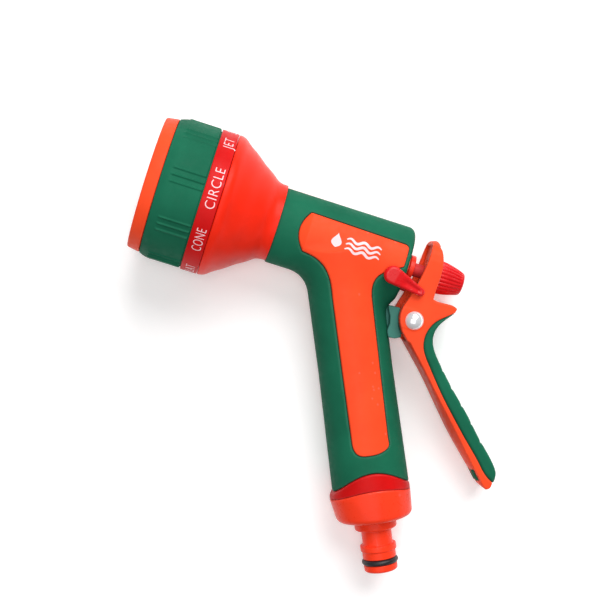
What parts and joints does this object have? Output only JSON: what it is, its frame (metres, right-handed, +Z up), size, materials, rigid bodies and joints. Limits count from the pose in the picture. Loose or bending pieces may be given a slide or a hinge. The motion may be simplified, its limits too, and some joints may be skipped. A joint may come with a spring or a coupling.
{
  "type": "hose spray nozzle",
  "caption": "Handheld garden hose spray nozzle with a turning pattern dial, raked grip, rear squeeze trigger, flow knob, lock clip and a male quick-connect inlet.",
  "frame": {"origin": "middle of the footprint, on the surface that the nozzle lies on", "axes": "+X from the spray face towards the trigger, +Y from the grip towards the top of the barrel, +Z up from the table, towards the left side of the nozzle"},
  "size_m": [0.1996, 0.178, 0.0701],
  "materials": {
    "orange_shell": "semi-gloss moulded",
    "orange_panel": "satin moulded",
    "green_rubber": "fine matt grain",
    "green_hard": "satin moulded",
    "red_gloss": "gloss moulded",
    "gland_orange": "gloss moulded",
    "stem_red": "satin moulded",
    "plate_grey": "satin moulded",
    "black_rubber": "smooth",
    "chrome_pin": "polished",
    "steel": "plain"
  },
  "bodies": {
    "housing": {"bell_housing": "orange_shell", "port_plate": "plate_grey", "port_seal": "black_rubber", "port_seal_spring": "steel", "detent_ball": "steel", "detent_spring": "steel", "dial_screw": "steel", "dial_washer": "steel", "body_core": "green_hard", "soft_grip": "green_rubber", "left_side_panel": "orange_panel", "right_side_panel": "orange_panel", "base_collar": "red_gloss", "inlet_base": "orange_shell", "tail_seal": "black_rubber", "valve_seat": "plate_grey", "valve_spring": "steel", "gland_nut": "gland_orange", "pivot_pin": "chrome_pin"},
    "dial": {"front_bezel": "orange_shell", "spray_plate": "plate_grey", "pattern_body": "plate_grey", "dial_grip": "green_rubber", "pattern_ring": "red_gloss", "centre_cap": "orange_shell"},
    "trigger": {"trigger_lever": "orange_panel", "trigger_pad": "green_rubber"},
    "stem": {"valve_stem": "stem_red", "plunger_seal": "black_rubber", "stem_seals": "black_rubber"},
    "knob": {"flow_knob": "red_gloss"},
    "clip": {"lock_clip": "red_gloss"}
  },
  "joints": [
    {"name": "dial_turn", "type": "hinge", "parent": "housing", "child": "dial", "pos_m": [-0.07526, 0.0552, 0.03544], "axis": [0.987, -0.0036, -0.1606], "continuous": true},
    {"name": "trigger_squeeze", "type": "hinge", "parent": "housing", "child": "trigger", "pos_m": [0.03903, 0.03089, 0.01738], "axis": [-0.1606, -0.0221, -0.9868], "range_deg": [0, 15], "stiffness_Nm_per_rad": 1.2, "springref_deg": -8.59},
    {"name": "stem_slide", "type": "slide", "parent": "housing", "child": "stem", "axis": [0.987, -0.0036, -0.1606], "range_m": [0, 0.0078], "deforming": ["valve_spring"]},
    {"name": "knob_turn", "type": "hinge", "parent": "stem", "child": "knob", "pos_m": [0.0491, 0.05355, 0.01524], "axis": [0.987, -0.0036, -0.1606], "range_deg": [0, 540]},
    {"name": "clip_swing", "type": "hinge", "parent": "housing", "child": "clip", "pos_m": [0.02285, 0.04795, 0.01963], "axis": [0.1606, 0.0221, 0.9868], "range_deg": [0, 60]}
  ],
  "couplings": [
    {"joint": "stem_slide", "follows": "trigger_squeeze", "m_per_rad": 0.0295}
  ]
}
